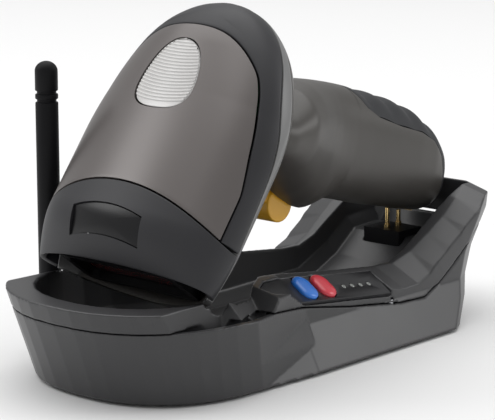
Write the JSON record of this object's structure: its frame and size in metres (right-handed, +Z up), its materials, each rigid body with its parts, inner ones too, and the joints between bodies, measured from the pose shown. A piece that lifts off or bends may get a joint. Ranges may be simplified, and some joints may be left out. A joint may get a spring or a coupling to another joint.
{
  "type": "handheld barcode scanner",
  "caption": "Cordless gun-shaped barcode scanner with an oval head, status window, trigger and rubber grip, resting nose down in a charging cradle with a hinged antenna.",
  "frame": {"origin": "centre of the line between the two fixing inserts, on the underside of the cradle's base shell, 1 mm above the table the rubber feet stand on", "axes": "+Z up, -Y towards the nose end of the cradle, +Y towards the handle, +X towards the side with the buttons; X = 0 is the plane of symmetry of scanner and cradle"},
  "size_m": [0.0906, 0.1834, 0.1107],
  "materials": {
    "cover_paint": "satin metallic paint",
    "charcoal_plastic": "soft matte",
    "strip_plastic": "satin",
    "housing_plastic": "satin",
    "grip_rubber": "matte",
    "badge_plastic": "satin",
    "window_clear": "frosted",
    "scan_glass": "clear",
    "black_plastic": "matte",
    "board": "satin",
    "tin": "satin",
    "cell_wrap": "satin",
    "gold_contact": "polished",
    "screw_steel": "satin",
    "trigger_plastic": "satin",
    "cradle_plastic": "satin, fine grain",
    "foot_rubber": "matte",
    "insert_brass": "satin",
    "panel_plastic": "satin",
    "light_lens": "frosted",
    "blue_plastic": "satin",
    "red_plastic": "satin"
  },
  "bodies": {
    "cradle": {"cradle_base": "cradle_plastic", "cradle_top": "cradle_plastic", "ballast_weight": "tin", "rubber_feet": "foot_rubber", "base_screws": "screw_steel", "cradle_board": "board", "fixing_inserts": "insert_brass", "charge_block": "black_plastic", "charge_pins": "gold_contact", "control_panel": "panel_plastic", "panel_lights": "light_lens", "button_switches": "black_plastic", "power_jack": "black_plastic", "data_jack": "black_plastic", "antenna_bushing": "insert_brass"},
    "scanner": {"top_cover": "cover_paint", "nose_bumper": "charcoal_plastic", "head_band": "charcoal_plastic", "trim_strip": "strip_plastic", "housing_left": "housing_plastic", "housing_right": "housing_plastic", "grip_pad": "grip_rubber", "badge_plate": "badge_plastic", "led_window": "window_clear", "led_board": "board", "scan_window": "scan_glass", "window_bezel": "black_plastic", "scan_engine": "black_plastic", "main_board": "board", "radio_module": "tin", "beeper": "black_plastic", "vibration_motor": "tin", "battery_cell": "cell_wrap", "charge_pads": "gold_contact", "housing_screws": "screw_steel", "trigger_switch": "black_plastic", "trigger_pin": "screw_steel", "trigger_spring": "screw_steel"},
    "trigger": {"trigger": "trigger_plastic"},
    "blue_button": {"blue_button": "blue_plastic"},
    "red_button": {"red_button": "red_plastic"},
    "antenna_base": {"antenna_knuckle": "black_plastic", "hinge_pin": "screw_steel"},
    "antenna_whip": {"antenna_whip": "black_plastic"}
  },
  "joints": [
    {"name": "scanner_lift", "type": "slide", "parent": "cradle", "child": "scanner", "axis": [0, 0, 1], "range_m": [0, 0.12]},
    {"name": "trigger_pull", "type": "hinge", "parent": "scanner", "child": "trigger", "pos_m": [0, 0.021, 0.057], "axis": [1, 0, 0], "range_deg": [0, 10], "stiffness_Nm_per_rad": 0.02, "deforming": ["trigger_spring"]},
    {"name": "blue_press", "type": "slide", "parent": "cradle", "child": "blue_button", "axis": [-0.5151, -0.0939, -0.852], "range_m": [0, 0.001], "stiffness_N_per_m": 400},
    {"name": "red_press", "type": "slide", "parent": "cradle", "child": "red_button", "axis": [-0.5151, -0.0939, -0.852], "range_m": [0, 0.001], "stiffness_N_per_m": 400},
    {"name": "antenna_swivel", "type": "hinge", "parent": "cradle", "child": "antenna_base", "pos_m": [-0.0436, -0.0215, 0.0132], "axis": [1, 0, 0], "range_deg": [-90, 90]},
    {"name": "antenna_fold", "type": "hinge", "parent": "antenna_base", "child": "antenna_whip", "pos_m": [-0.0466, -0.0215, 0.0132], "axis": [0, -1, 0], "range_deg": [0, 90]}
  ]
}
